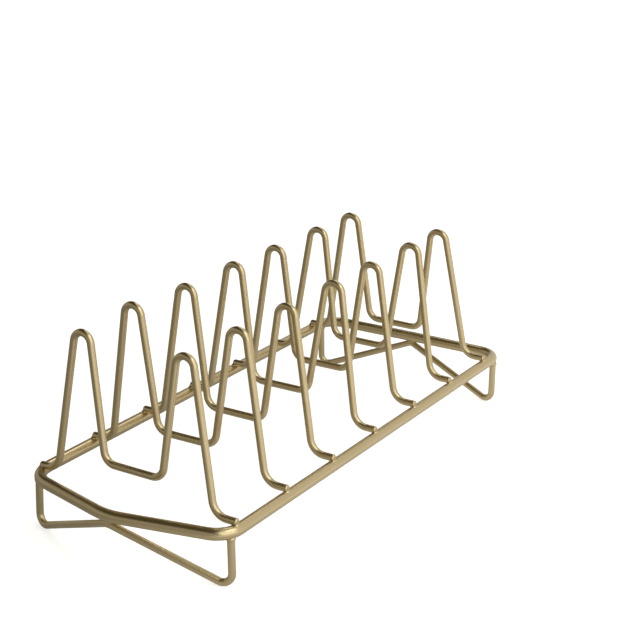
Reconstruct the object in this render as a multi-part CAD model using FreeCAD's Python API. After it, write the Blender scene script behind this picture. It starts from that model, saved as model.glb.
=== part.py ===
# Pot lid rack of bent and welded round steel: a thick rod closed into a long ring, seven divider wires
# that stand across it with two hairpins each, and a W-shaped leg wire under each end of the ring.
# Frame: X is the width, Y runs along the rack with the front end at -Y, Z is up, and the origin is
# on the floor under the middle of the whole rack. All sizes are in millimetres.
import FreeCAD
import Part
import math
import os

Vector = FreeCAD.Vector

FRONT, REAR = -1, 1
LEFT, RIGHT = -1, 1

# Stock, and how deep a wire is pressed into the rod where they are welded
ROD_D = 8.0
WIRE_D = 5.0
LEG_SINK = 0.6
STUB_SINK = 1.1

# Ring of rod, with lengths between the sharp corners of its centre line
RAIL_SPACING = 160.0       # between the two long rails
RAIL_LENGTH = 371.1        # of the right rail
LEFT_SHORT = 2.5           # how much shorter the left rail is, at its front end
FRONT_POINT = 17.3         # how far the front end rail stands out in the middle
REAR_POINT = 1.0           # the same at the rear, where the rail is nearly straight
POINT_R = 45.0             # soft bend in the middle of each end rail
RAIL_HEIGHT = 37.0         # centre of the rod above the floor
CORNER_R = 16.0
FRONT_LEFT_CORNER_R = 22.0 # the one corner that was bent wider
CORNER_RADII = {
    (FRONT, LEFT): FRONT_LEFT_CORNER_R,
    (FRONT, RIGHT): CORNER_R,
    (REAR, LEFT): CORNER_R,
    (REAR, RIGHT): CORNER_R,
}

# Dividers of wire, placed along the rails and then shaped from the rails inwards
FRONT_GAP = 10.4           # from the right rail's sharp front corner to the first divider
REAR_GAP = 26.7            # from the last divider to its sharp rear corner
END_REACH = 0.4            # from the rail's centre line out to the wire's cut end
END_ROUNDING = 1.2         # radius on the edge of a cut end
FOOT_INSET = 17.0          # from the rail's centre line to the foot of the outer slope
OUTER_SLOPE = 22.0         # from that foot to the middle of the hairpin
INNER_SLOPE = 18.0         # from the middle of the hairpin to the end of the bridge
CROWN_RISE = 104.0         # top of a hairpin above the rod's centre
BRIDGE_RISE = 20.5         # level stretch between the hairpins above the rod's centre
STUB_BEND_R = 11.0
HAIRPIN_R = 7.0
BRIDGE_BEND_R = 9.0
# What the bending left on each divider, from the front on. First how much higher its bridge stands, and
# then for the left and the right side how much higher the crown stands, how many degrees the hairpin
# leans to the rear, and how much further out the wire's end reaches.
DIVIDERS = (
    (-1.1, (-1.0, 3.2, -2.4), (0.0, 2.3, 0.2)),
    (1.0, (3.0, 0.0, 0.0), (0.0, 2.1, 0.0)),
    (-0.8, (0.0, 1.3, 0.0), (0.0, 2.0, 0.4)),
    (1.1, (0.8, 2.1, 0.0), (0.0, 3.8, -0.2)),
    (0.0, (0.0, 0.6, 0.0), (0.0, 1.3, 0.0)),
    (0.7, (0.0, 2.4, 0.0), (0.0, 2.5, -0.4)),
    (-0.3, (0.0, -1.4, 0.0), (0.0, -4.6, 0.0)),
)

# Legs of wire
POST_INSET = 1.0           # from the rod's centre down to the post's end, inside the rod
FOOT_BEND_R = 6.5
LEG_CROWN_R = 6.0          # bend under the middle of the end rail
# Where a post stands, in degrees round the ring's corner bend
POST_ANGLES = {
    (FRONT, LEFT): 34.0,
    (FRONT, RIGHT): 26.0,
    (REAR, LEFT): 17.0,
    (REAR, RIGHT): 17.0,
}
# How far a post's top stands outside the rod's centre line, and its foot outside its top
POST_OFFSETS = {
    (FRONT, LEFT): (1.2, 1.3),
    (FRONT, RIGHT): (0.0, 1.0),
    (REAR, LEFT): (1.2, -0.4),
    (REAR, RIGHT): (1.2, -0.4),
}

ROD_R = ROD_D / 2
WIRE_R = WIRE_D / 2


def bend_middle(before, corner, after, radius):
    """Middle of the arc that rounds a sharp corner."""
    to_before = (before - corner).normalize()
    to_after = (after - corner).normalize()
    gap = radius * (1 / math.sin(to_before.getAngle(to_after) / 2) - 1)
    return corner + (to_before + to_after).normalize() * gap


def bend_centre(before, corner, after, radius):
    """Centre of the arc that rounds a sharp corner."""
    middle = bend_middle(before, corner, after, radius)
    inward = (before - corner).normalize() + (after - corner).normalize()
    return middle + inward.normalize() * radius


def bent_path(points, radii, closed=False):
    """Straight runs through the points, joined by tangent arcs at all points but the first and last."""
    edges = []
    start = points[0]
    for before, corner, after, radius in zip(points, points[1:], points[2:], radii):
        to_before = (before - corner).normalize()
        to_after = (after - corner).normalize()
        setback = radius / math.tan(to_before.getAngle(to_after) / 2)
        first = corner + to_before * setback
        last = corner + to_after * setback
        edges.append(Part.LineSegment(start, first).toShape())
        edges.append(Part.Arc(first, bend_middle(before, corner, after, radius), last).toShape())
        start = last
    edges.append(Part.LineSegment(start, points[0] if closed else points[-1]).toShape())
    return Part.Wire(edges)


def round_bar(path, radius):
    """A solid round bar that follows the path."""
    first_edge = path.Edges[0]
    heading = first_edge.tangentAt(first_edge.FirstParameter)
    section = Part.makeCircle(radius, path.Vertexes[0].Point, heading)
    return path.makePipeShell([Part.Wire(section)], True, False)


# Sharp corners of the ring and of its end rails' middles, with Y from the middle of the right rail
RING_CORNERS = {
    (end, side): Vector(side * RAIL_SPACING / 2, end * RAIL_LENGTH / 2, RAIL_HEIGHT)
    for end in (FRONT, REAR)
    for side in (LEFT, RIGHT)
}
RING_CORNERS[FRONT, LEFT].y += LEFT_SHORT
RING_POINTS = {
    FRONT: Vector(0, -RAIL_LENGTH / 2 - FRONT_POINT, RAIL_HEIGHT),
    REAR: Vector(0, RAIL_LENGTH / 2 + REAR_POINT, RAIL_HEIGHT),
}


def end_middle(end):
    """Rounded middle of an end rail."""
    return bend_middle(RING_CORNERS[end, LEFT], RING_POINTS[end], RING_CORNERS[end, RIGHT], POINT_R)


# Then all of them move along Y until the origin is under the middle of the whole rack
ORIGIN_SHIFT = -(end_middle(FRONT).y + end_middle(REAR).y) / 2
for ring_place in (*RING_CORNERS.values(), *RING_POINTS.values()):
    ring_place.y += ORIGIN_SHIFT


def make_ring():
    """The closed ring. Its path starts in the middle of the right rail, so every corner is bent."""
    start = (RING_CORNERS[FRONT, RIGHT] + RING_CORNERS[REAR, RIGHT]) / 2
    bends = [
        (RING_CORNERS[REAR, RIGHT], CORNER_RADII[REAR, RIGHT]),
        (RING_POINTS[REAR], POINT_R),
        (RING_CORNERS[REAR, LEFT], CORNER_RADII[REAR, LEFT]),
        (RING_CORNERS[FRONT, LEFT], CORNER_RADII[FRONT, LEFT]),
        (RING_POINTS[FRONT], POINT_R),
        (RING_CORNERS[FRONT, RIGHT], CORNER_RADII[FRONT, RIGHT]),
    ]
    corners = [corner for corner, radius in bends]
    radii = [radius for corner, radius in bends]
    return round_bar(bent_path([start] + corners + [start], radii, closed=True), ROD_R)


def divider_outline(bridge_rise, crown_rise, end_reach):
    """Sharp corners (x, rise) of the right half of a divider, from its end on the rail inwards."""
    stub_rise = ROD_R + WIRE_R - STUB_SINK
    end_x = RAIL_SPACING / 2 + end_reach
    foot_x = RAIL_SPACING / 2 - FOOT_INSET
    hairpin_x = foot_x - OUTER_SLOPE
    bridge_x = hairpin_x - INNER_SLOPE

    def tangent_slope(x, rise, side):
        """Run for each unit of rise of the line from a corner to one side of the hairpin's round."""
        run = hairpin_x - x
        climb = crown_rise - HAIRPIN_R - rise
        return math.tan(math.atan2(run, climb) + side * math.asin(HAIRPIN_R / math.hypot(run, climb)))

    outer_slope = tangent_slope(foot_x, stub_rise, 1)
    inner_slope = tangent_slope(bridge_x, bridge_rise, -1)
    top_rise = bridge_x - foot_x + outer_slope * stub_rise - inner_slope * bridge_rise
    top_rise /= outer_slope - inner_slope
    top_x = foot_x + outer_slope * (top_rise - stub_rise)
    return [(end_x, stub_rise), (foot_x, stub_rise), (top_x, top_rise), (bridge_x, bridge_rise)]


def make_divider(index, ring):
    """One divider wire, its two ends shaped to the rails they are welded to."""
    pitch = (RAIL_LENGTH - FRONT_GAP - REAR_GAP) / (len(DIVIDERS) - 1)
    y = RING_CORNERS[FRONT, RIGHT].y + FRONT_GAP + index * pitch
    bridge_extra, *sides = DIVIDERS[index]
    halves = []
    for side, (crown_extra, lean, reach_extra) in zip((LEFT, RIGHT), sides):
        outline = divider_outline(
            BRIDGE_RISE + bridge_extra, CROWN_RISE + crown_extra, END_REACH + reach_extra)
        foot_rise = outline[0][1]
        slope = math.tan(math.radians(lean))
        halves.append([
            Vector(side * x, y + slope * (rise - foot_rise), RAIL_HEIGHT + rise) for x, rise in outline
        ])
    left, right = halves
    radii = [STUB_BEND_R, HAIRPIN_R, BRIDGE_BEND_R]
    bar = round_bar(bent_path(left + right[::-1], radii + radii[::-1]), WIRE_R)
    end_circles = [
        edge for edge in bar.Edges
        if min(edge.CenterOfMass.distanceToPoint(end) for end in (left[0], right[0])) < WIRE_R
    ]
    return bar.makeFillet(END_ROUNDING, end_circles).cut(ring)


def post_place(end, side):
    """Place of a post's top at the height of the rod's centre, and its direction from the bend."""
    radius = CORNER_RADII[end, side]
    centre = bend_centre(RING_CORNERS[-end, side], RING_CORNERS[end, side], RING_POINTS[end], radius)
    angle = math.radians(POST_ANGLES[end, side])
    outward = Vector(side * math.cos(angle), end * math.sin(angle), 0)
    return centre + outward * (radius + POST_OFFSETS[end, side][0]), outward


def make_leg(end, ring):
    """One leg wire: two posts, two feet, and two slants that rise to the middle of the end rail."""
    seat = end_middle(end) - Vector(0, 0, ROD_R + WIRE_R - LEG_SINK)
    crown = Vector(seat)
    tops = []
    feet = []
    for side in (LEFT, RIGHT):
        top, outward = post_place(end, side)
        foot = top + outward * POST_OFFSETS[end, side][1]
        tops.append(Vector(top.x, top.y, RAIL_HEIGHT - POST_INSET))
        feet.append(Vector(foot.x, foot.y, WIRE_R))
    # The sharp corners lie beyond their bends, and each moves the slant that places the others,
    # so a few rounds settle them all: the crown's bend on its seat and the feet's on the floor
    for fitting in range(8):
        crown += seat - bend_middle(feet[0], crown, feet[1], LEG_CROWN_R)
        for top, foot in zip(tops, feet):
            bend_plane = (top - foot).cross(crown - foot).normalize()
            bend_drop = FOOT_BEND_R * math.sqrt(1 - bend_plane.z ** 2)
            foot.z += WIRE_R + bend_drop - bend_centre(top, foot, crown, FOOT_BEND_R).z

    points = [tops[0], feet[0], crown, feet[1], tops[1]]
    return round_bar(bent_path(points, [FOOT_BEND_R, LEG_CROWN_R, FOOT_BEND_R]), WIRE_R).cut(ring)


def save(name, shape):
    """Writes a shape that has to be one sound solid."""
    if len(shape.Solids) != 1 or not shape.isValid():
        raise ValueError(name + " is not one sound solid")
    shape.Solids[0].exportStep("parts/" + name + ".step")


os.makedirs("parts", exist_ok=True)
base_frame = make_ring()
save("base_frame", base_frame)
save("front_leg", make_leg(FRONT, base_frame))
save("rear_leg", make_leg(REAR, base_frame))
for divider_index in range(len(DIVIDERS)):
    save("divider_" + str(divider_index + 1), make_divider(divider_index, base_frame))
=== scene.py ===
import math
import bpy
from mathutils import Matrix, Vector


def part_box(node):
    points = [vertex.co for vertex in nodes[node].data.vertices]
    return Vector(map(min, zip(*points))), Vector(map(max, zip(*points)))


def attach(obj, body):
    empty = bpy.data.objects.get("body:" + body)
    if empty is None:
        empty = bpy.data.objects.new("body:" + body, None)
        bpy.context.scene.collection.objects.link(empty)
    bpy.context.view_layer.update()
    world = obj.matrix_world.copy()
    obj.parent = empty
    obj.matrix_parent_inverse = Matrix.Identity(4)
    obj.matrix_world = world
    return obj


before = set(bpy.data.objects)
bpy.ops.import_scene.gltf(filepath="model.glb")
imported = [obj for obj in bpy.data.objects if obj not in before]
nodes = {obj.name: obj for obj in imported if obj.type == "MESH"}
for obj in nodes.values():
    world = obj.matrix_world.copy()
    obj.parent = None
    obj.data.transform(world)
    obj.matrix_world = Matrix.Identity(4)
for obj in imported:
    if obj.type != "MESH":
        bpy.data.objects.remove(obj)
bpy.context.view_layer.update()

# The ring: one 8 mm steel rod bent round four corners and butt-welded shut. The whole rack is sprayed
# with a champagne gold lacquer after welding, which dries to a satin skin with a fine orange peel.
MM = 0.001
LACQUER_GOLD = "#D6C297"
LACQUER_THICK = "#CCB888"
LACQUER_ROUGHNESS = 0.23
LACQUER_ROUGHNESS_DULL = 0.30
CLEAR_COAT = 0.4
CLEAR_COAT_ROUGHNESS = 0.15
PEEL_GRAIN = 0.9 * MM
PEEL_DEPTH = 0.009 * MM
POOL_SIZE = 22 * MM
POOL_THIN = 0.3
POOL_THICK = 0.7


def linear(hex_colour):
    """sRGB hex colour as linear RGBA."""
    channels = [int(hex_colour[i:i + 2], 16) / 255 for i in (1, 3, 5)]
    return [c / 12.92 if c <= 0.04045 else ((c + 0.055) / 1.055) ** 2.4 for c in channels] + [1]


def add_node(tree, kind, settings=None, inputs=None):
    """A node with its settings; an input is a value, or a socket that it is linked from."""
    node = tree.nodes.new(kind)
    for key, value in (settings or {}).items():
        setattr(node, key, value)
    for key, value in (inputs or {}).items():
        if isinstance(value, bpy.types.NodeSocket):
            tree.links.new(value, node.inputs[key])
        else:
            node.inputs[key].default_value = value
    return node


def new_material(name):
    """An empty node material."""
    material = bpy.data.materials.new(name)
    material.use_nodes = True
    material.node_tree.nodes.clear()
    return material


def gold_lacquer(name, peel_depth):
    """Champagne gold lacquer: colour pools a little, gloss varies, and the skin has an orange peel."""
    material = new_material(name)
    tree = material.node_tree
    place = add_node(tree, "ShaderNodeTexCoord").outputs["Object"]
    pools = add_node(tree, "ShaderNodeTexNoise", None,
                     {"Vector": place, "Scale": 1 / POOL_SIZE, "Detail": 3.0, "Roughness": 0.55})
    colour = add_node(tree, "ShaderNodeMix", {"data_type": "RGBA"},
                      {"Factor": pools.outputs["Fac"], "A": linear(LACQUER_GOLD),
                       "B": linear(LACQUER_THICK)})
    gloss = add_node(tree, "ShaderNodeMapRange", None,
                     {"Value": pools.outputs["Fac"], "From Min": POOL_THIN, "From Max": POOL_THICK,
                      "To Min": LACQUER_ROUGHNESS, "To Max": LACQUER_ROUGHNESS_DULL})
    peel = add_node(tree, "ShaderNodeTexNoise", None,
                    {"Vector": place, "Scale": 1 / PEEL_GRAIN, "Detail": 2.0, "Roughness": 0.5})
    skin = add_node(tree, "ShaderNodeBump", None,
                    {"Height": peel.outputs["Fac"], "Strength": 1.0, "Distance": peel_depth})
    shader = add_node(tree, "ShaderNodeBsdfPrincipled", None,
                      {"Base Color": colour.outputs["Result"], "Metallic": 1.0,
                       "Roughness": gloss.outputs["Result"], "Normal": skin.outputs["Normal"],
                       "Coat Weight": CLEAR_COAT, "Coat Roughness": CLEAR_COAT_ROUGHNESS})
    add_node(tree, "ShaderNodeOutputMaterial", None, {"Surface": shader.outputs["BSDF"]})
    return material


lacquer = gold_lacquer("champagne_lacquer", PEEL_DEPTH)
nodes["base_frame"].material_slots[0].material = lacquer

# The dividers and legs: 5 mm drawn steel wire, bent cold in a jig to its W shapes before the rack is
# welded. The ring's lacquer covers them too.
divider_names = sorted(name for name in nodes if name.startswith("divider_"))
leg_names = ["front_leg", "rear_leg"]
for name in divider_names + leg_names:
    nodes[name].material_slots[0].material = lacquer

# The welds: the wires' ends are pressed into the rod under current, and the melted steel is squeezed
# out round each joint as a low uneven collar, past the cut end of each divider wire. The lacquer over
# it is thicker and has a coarser skin.
STUB_BEAD = Vector((2.4, 3.3, 1.6)) * MM
STUB_BEAD_SHIFT = 1.0 * MM
POST_BEAD = Vector((3.3, 3.3, 2.6)) * MM
CROWN_BEAD = Vector((4.6, 2.6, 1.7)) * MM
BEAD_ROUGHENING = 0.07
WELD_PEEL = 0.05 * MM
STUB_REACH = 4 * MM
CROWN_REACH = 2 * MM
POST_TOP_SHARE = 0.8
STUB_SEED, POST_SEED, CROWN_SEED = 10, 40, 50
weld_lacquer = gold_lacquer("champagne_lacquer_on_weld", WELD_PEEL)
ring_low, ring_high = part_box("base_frame")


def node_points(name, wanted):
    """The points of a CAD node that pass a test."""
    return [v.co for v in nodes[name].data.vertices if wanted(v.co)]


def middle(points):
    """Middle of the box round some points."""
    lows = Vector([min(p[i] for p in points) for i in range(3)])
    highs = Vector([max(p[i] for p in points) for i in range(3)])
    return (lows + highs) / 2


def weld_bead(name, place, radii, seed):
    """A small uneven mound of weld, set round a place on the rod."""
    bpy.ops.object.select_all(action="DESELECT")
    bpy.ops.mesh.primitive_ico_sphere_add(subdivisions=3, radius=1.0, location=place)
    bead = bpy.context.object
    bead.name = name
    bpy.ops.object.mode_set(mode="EDIT")
    bpy.ops.mesh.select_all(action="SELECT")
    bpy.ops.transform.vertex_random(offset=BEAD_ROUGHENING, uniform=0.2, normal=0.8, seed=seed)
    bpy.ops.mesh.vertices_smooth(factor=0.5, repeat=2)
    bpy.ops.transform.resize(value=radii, center_override=place)
    bpy.ops.mesh.normals_make_consistent(inside=False)
    bpy.ops.object.mode_set(mode="OBJECT")
    rounding = bead.modifiers.new("rounding", "SUBSURF")
    rounding.levels = 1
    rounding.render_levels = 1
    bpy.ops.object.modifier_apply(modifier="rounding")
    bpy.ops.object.transform_apply(location=True, rotation=True, scale=True)
    bpy.ops.object.shade_smooth()
    bead.data.materials.append(weld_lacquer)
    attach(bead, "root")


for number, name in enumerate(divider_names):
    low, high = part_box(name)
    for side, label in ((-1, "left"), (1, "right")):
        end_x = high.x if side > 0 else low.x
        seat = node_points(name, lambda p: abs(p.x - end_x) < STUB_REACH and p.z < ring_high.z)
        place = middle(seat)
        place.x += side * STUB_BEAD_SHIFT
        seed = STUB_SEED + 2 * number + (side > 0)
        weld_bead(name + "_" + label + "_weld", place, STUB_BEAD, seed)

for number, name in enumerate(leg_names):
    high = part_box(name)[1]
    for side, label in ((-1, "left"), (1, "right")):
        post_top = node_points(
            name, lambda p: p.z > POST_TOP_SHARE * high.z and p.x * side > high.x / 2)
        place = middle(post_top)
        place.z = ring_low.z
        seed = POST_SEED + 2 * number + (side > 0)
        weld_bead(name + "_" + label + "_weld", place, POST_BEAD, seed)
    crown = node_points(name, lambda p: abs(p.x) < CROWN_REACH)
    place = middle(crown)
    place.z = ring_low.z
    weld_bead(name + "_crown_weld", place, CROWN_BEAD, CROWN_SEED + number)

# The studio: a white table that runs to a white background and keeps the rack's soft shadow. In
# reflections the table has painted shade and painted light: a darker grey, and a painted glow that is
# bright on the right and faint on the left. What the satin metal mirrors is that table, walls lit on
# the right and shaded on the left, a large softbox with a hot top on the right, a small lamp high at
# the back, and a dark ceiling and flag.
TABLE_SIZE = 6.0
TABLE_SEEN = "#FAFAF8"
# Painted shade: in reflections the table is this darker grey instead of white.
TABLE_MIRRORED_PAINTED_SHADE = "#908F8B"
TABLE_ROUGHNESS = 0.6
# Painted light: in reflections the table glows, faint on its shaded left and bright on its lit right,
# across this axis.
PAINTED_LIT_TABLE_SIDE = (0.97, 0.25, 0.0)
PAINTED_SHADE_FROM = -0.22
PAINTED_LIGHT_FROM = 0.35
TABLE_GLOW_NEAR = 0.64
TABLE_GLOW_FAR = 0.85
PAINTED_LIGHT_SHADED_SIDE = 0.08
PAINTED_LIGHT_LIT_SIDE = 0.70
NEAR_THE_RACK = 0.3
FAR_FROM_RACK = 1.2
WALL_LIT = "#E2E1DE"
WALL_BEHIND = "#CAC9C5"
WALL_SHADED = "#A5A39E"
DARK = "#4A4436"
CEILING_FADE = (0.5, 0.75)
LIT_SIDE = (0.79, 0.61, 0.0)
LIT_EDGE = (-0.03, 0.06)
LIT_FADE = (0.0, 0.9)
FLAG_SIDE = (-0.55, 0.38, 0.74)
FLAG_EDGE = (0.86, 0.92)
LAMP_AIM = Vector((0, 0, 0.05))
# Each lamp's name, place, width, height and power
LAMPS = (
    ("right_softbox", (0.87, -0.37, 0.60), 1.10, 1.15, 3.0),
    ("right_softbox_hot_top", (0.65, 0.02, 1.06), 0.46, 0.46, 1.1),
    ("rear_lamp", (-0.36, 0.85, 1.35), 0.5, 0.5, 1.6),
)

bpy.ops.object.select_all(action="DESELECT")
bpy.ops.mesh.primitive_plane_add(size=TABLE_SIZE, location=(0, 0, 0))
table = bpy.context.object
table.name = "table"
table_paint = new_material("white_table_with_painted_reflected_light")
tree = table_paint.node_tree
ray = add_node(tree, "ShaderNodeLightPath")
place = add_node(tree, "ShaderNodeTexCoord").outputs["Object"]
distance = add_node(tree, "ShaderNodeVectorMath", {"operation": "LENGTH"}, {0: place})
white = add_node(tree, "ShaderNodeMapRange", {"interpolation_type": "SMOOTHSTEP"},
                 {"Value": distance.outputs["Value"],
                  "From Min": NEAR_THE_RACK, "From Max": FAR_FROM_RACK,
                  "To Min": TABLE_GLOW_NEAR, "To Max": TABLE_GLOW_FAR})
across = add_node(tree, "ShaderNodeVectorMath", {"operation": "DOT_PRODUCT"},
                  {0: place, 1: PAINTED_LIT_TABLE_SIDE})
# Painted light on the table, seen only in reflections: the glow rises from the shaded side to the lit
# side.
painted_light_across = add_node(tree, "ShaderNodeMapRange", {"interpolation_type": "SMOOTHSTEP"},
                {"Value": across.outputs["Value"], "From Min": PAINTED_SHADE_FROM, "From Max": PAINTED_LIGHT_FROM,
                 "To Min": PAINTED_LIGHT_SHADED_SIDE, "To Max": PAINTED_LIGHT_LIT_SIDE})
painted_light_in_reflections = add_node(tree, "ShaderNodeMath", {"operation": "MULTIPLY"},
                 {0: ray.outputs["Is Glossy Ray"], 1: painted_light_across.outputs["Result"]})
white_and_painted_light = add_node(tree, "ShaderNodeMath", {"operation": "MULTIPLY_ADD"},
                {0: ray.outputs["Is Camera Ray"], 1: white.outputs["Result"], 2: painted_light_in_reflections.outputs[0]})
# Painted shade: the camera sees the table white, reflections see it darker grey.
white_or_painted_shade = add_node(tree, "ShaderNodeMix", {"data_type": "RGBA"},
                 {"Factor": ray.outputs["Is Camera Ray"], "A": linear(TABLE_MIRRORED_PAINTED_SHADE),
                  "B": linear(TABLE_SEEN)})
paint = add_node(tree, "ShaderNodeBsdfPrincipled", None,
                 {"Base Color": white_or_painted_shade.outputs["Result"], "Roughness": TABLE_ROUGHNESS,
                  "Emission Color": linear("#FFFFFF"), "Emission Strength": white_and_painted_light.outputs[0]})
add_node(tree, "ShaderNodeOutputMaterial", None, {"Surface": paint.outputs["BSDF"]})
table.data.materials.append(table_paint)

world = bpy.data.worlds.new("studio")
world.use_nodes = True
bpy.context.scene.world = world
tree = world.node_tree
tree.nodes.clear()
ray = add_node(tree, "ShaderNodeLightPath")
direction = add_node(tree, "ShaderNodeTexCoord").outputs["Generated"]
height = add_node(tree, "ShaderNodeSeparateXYZ", None, {"Vector": direction}).outputs["Z"]


def room_side(axis, start, end):
    """From 0 to 1 as the direction turns towards an axis of the room."""
    turn = add_node(tree, "ShaderNodeVectorMath", {"operation": "DOT_PRODUCT"},
                    {0: direction, 1: axis})
    turned = add_node(tree, "ShaderNodeMapRange", {"interpolation_type": "SMOOTHSTEP"},
                      {"Value": turn.outputs["Value"], "From Min": start, "From Max": end})
    return turned.outputs["Result"]


def room_mix(factor, first, second):
    """A mix of two colours or sockets of the room."""
    return add_node(tree, "ShaderNodeMix", {"data_type": "RGBA"},
                    {"Factor": factor, "A": first, "B": second}).outputs["Result"]


overhead = add_node(tree, "ShaderNodeMapRange", {"interpolation_type": "SMOOTHSTEP"},
                    {"Value": height, "From Min": CEILING_FADE[0],
                     "From Max": CEILING_FADE[1]}).outputs["Result"]
shaded_walls = room_mix(overhead, linear(WALL_SHADED), linear(DARK))
lit_walls = room_mix(room_side(LIT_SIDE, *LIT_FADE), linear(WALL_BEHIND), linear(WALL_LIT))
walls = room_mix(room_side(LIT_SIDE, *LIT_EDGE), shaded_walls, lit_walls)
walls = room_mix(room_side(FLAG_SIDE, *FLAG_EDGE), walls, linear(DARK))
studio = add_node(tree, "ShaderNodeBackground", None, {"Color": walls, "Strength": 1.0})
backdrop = add_node(tree, "ShaderNodeBackground", None, {"Color": linear("#FFFFFF"), "Strength": 1.0})
seen = add_node(tree, "ShaderNodeMixShader", None,
                {0: ray.outputs["Is Camera Ray"], 1: studio.outputs[0], 2: backdrop.outputs[0]})
add_node(tree, "ShaderNodeOutputWorld", None, {"Surface": seen.outputs[0]})

for name, lamp_place, lamp_width, lamp_height, power in LAMPS:
    lamp = bpy.data.lights.new(name, "AREA")
    lamp.shape = "RECTANGLE"
    lamp.size = lamp_width
    lamp.size_y = lamp_height
    lamp.energy = power
    lamp_object = bpy.data.objects.new(name, lamp)
    bpy.context.scene.collection.objects.link(lamp_object)
    lamp_object.location = lamp_place
    lamp_facing = (LAMP_AIM - Vector(lamp_place)).to_track_quat("-Z", "Y")
    lamp_object.rotation_euler = lamp_facing.to_euler()

# The camera: the photograph's view from the front right corner, a little above the rack. Its place is
# in metres, its turn in degrees, and its lens and sensor in millimetres.
CAMERA_PLACE = (0.56607, -0.84137, 0.46116)
CAMERA_TURN = (70.807, 0.0, 32.329)
CAMERA_LENS = 85.275
CAMERA_SENSOR = 36.0
camera = bpy.data.cameras.new("photograph_view")
camera.lens = CAMERA_LENS
camera.sensor_width = CAMERA_SENSOR
camera_object = bpy.data.objects.new("photograph_view", camera)
bpy.context.scene.collection.objects.link(camera_object)
camera_object.location = CAMERA_PLACE
camera_object.rotation_euler = [math.radians(angle) for angle in CAMERA_TURN]
bpy.context.scene.camera = camera_object
bpy.context.scene.view_settings.view_transform = "Standard"
